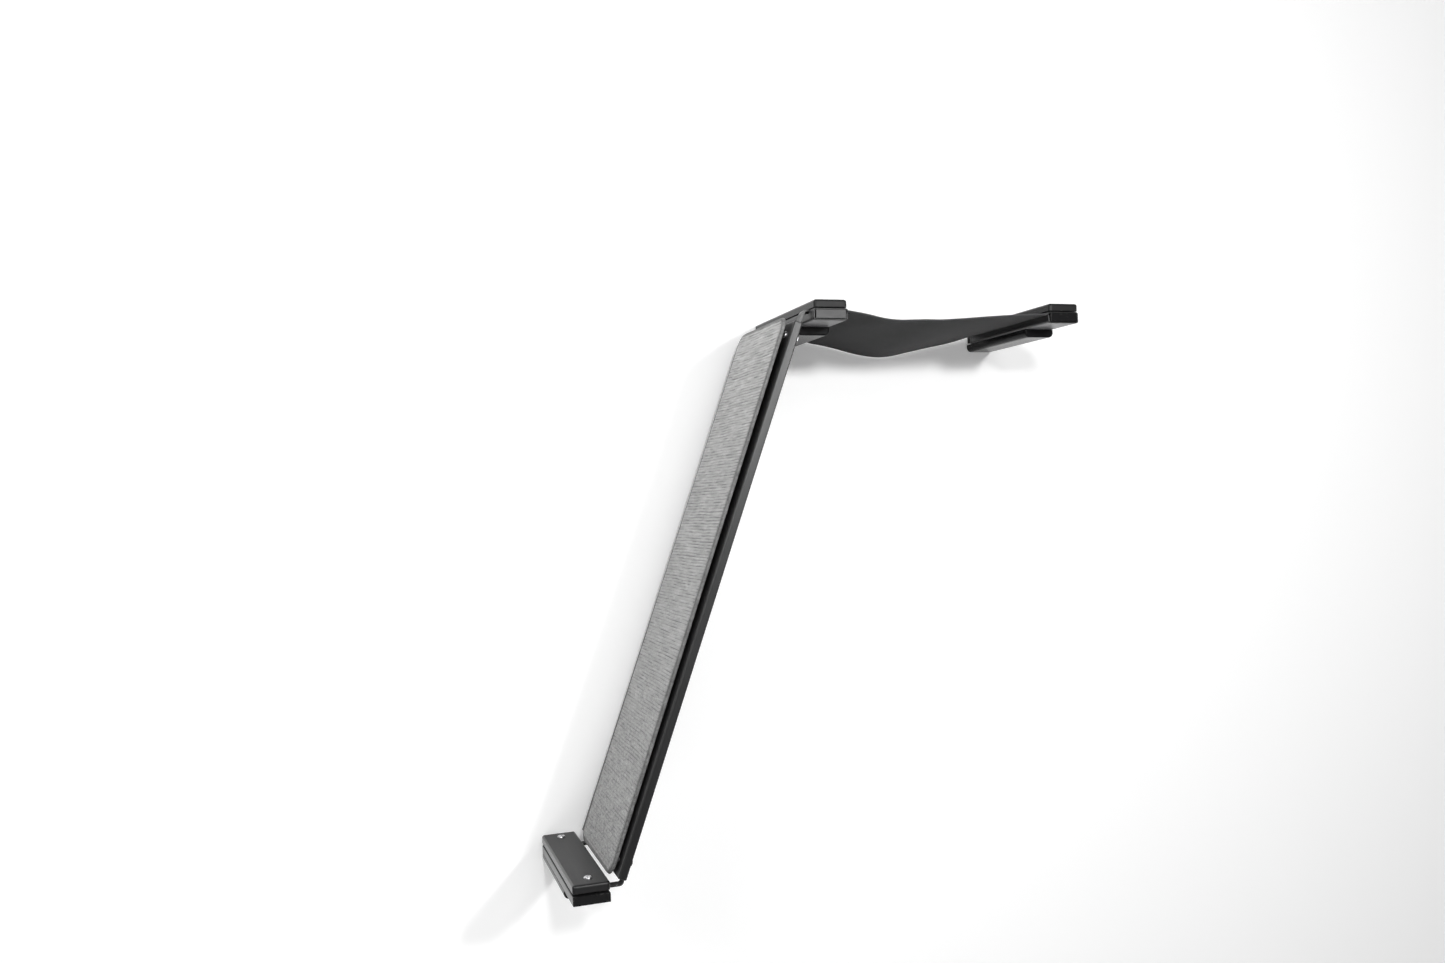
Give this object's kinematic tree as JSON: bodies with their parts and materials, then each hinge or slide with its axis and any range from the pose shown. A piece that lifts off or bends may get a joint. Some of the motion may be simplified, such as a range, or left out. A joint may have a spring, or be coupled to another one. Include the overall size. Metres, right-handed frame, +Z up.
{
  "type": "cat wall scratcher lounge",
  "caption": "Wall-mounted cat lounge: a cloth hammock slung between stacked wooden brackets, and a woven scratching ramp rising to it from a low step bracket.",
  "frame": {"origin": "midway between the two wall screw holes of the upper left bracket, on the wall's face", "axes": "+X along the wall to the right, +Y into the wall, +Z up"},
  "size_m": [0.8548, 0.26, 0.8603],
  "materials": {
    "charcoal_wood": "satin stain",
    "hammock_cloth": "matte plain weave",
    "woven_cover": "matte ribbed weave",
    "stiff_board": "matte",
    "spacer_plastic": "matte",
    "insert_brass": "plain",
    "dark_steel": "satin",
    "angle_steel": "plain",
    "bright_steel": "bright"
  },
  "bodies": {
    "root": {"hammock_fabric": "hammock_cloth", "lower_front_strap": "dark_steel", "lower_rear_strap": "dark_steel", "lower_strap_bolts": "bright_steel", "lower_strap_nuts": "bright_steel", "lower_strap_washers": "bright_steel", "panel_screws": "bright_steel", "panel_spacers": "spacer_plastic", "ramp_plank": "charcoal_wood", "scratcher_board": "stiff_board", "scratcher_cover": "woven_cover", "step_block_screws": "bright_steel", "step_bolts": "bright_steel", "step_inserts": "insert_brass", "step_lower_slat": "charcoal_wood", "step_support_block": "charcoal_wood", "step_top_slat": "charcoal_wood", "step_wall_angle": "angle_steel", "upper_front_strap": "dark_steel", "upper_left_block_screws": "bright_steel", "upper_left_bolts": "bright_steel", "upper_left_inserts": "insert_brass", "upper_left_lower_slat": "charcoal_wood", "upper_left_support_block": "charcoal_wood", "upper_left_top_slat": "charcoal_wood", "upper_left_wall_angle": "angle_steel", "upper_rear_strap": "dark_steel", "upper_right_block_screws": "bright_steel", "upper_right_bolts": "bright_steel", "upper_right_inserts": "insert_brass", "upper_right_lower_slat": "charcoal_wood", "upper_right_support_block": "charcoal_wood", "upper_right_top_slat": "charcoal_wood", "upper_right_wall_angle": "angle_steel", "upper_strap_bolts": "bright_steel", "upper_strap_nuts": "bright_steel", "upper_strap_washers": "bright_steel"}
  },
  "joints": []
}
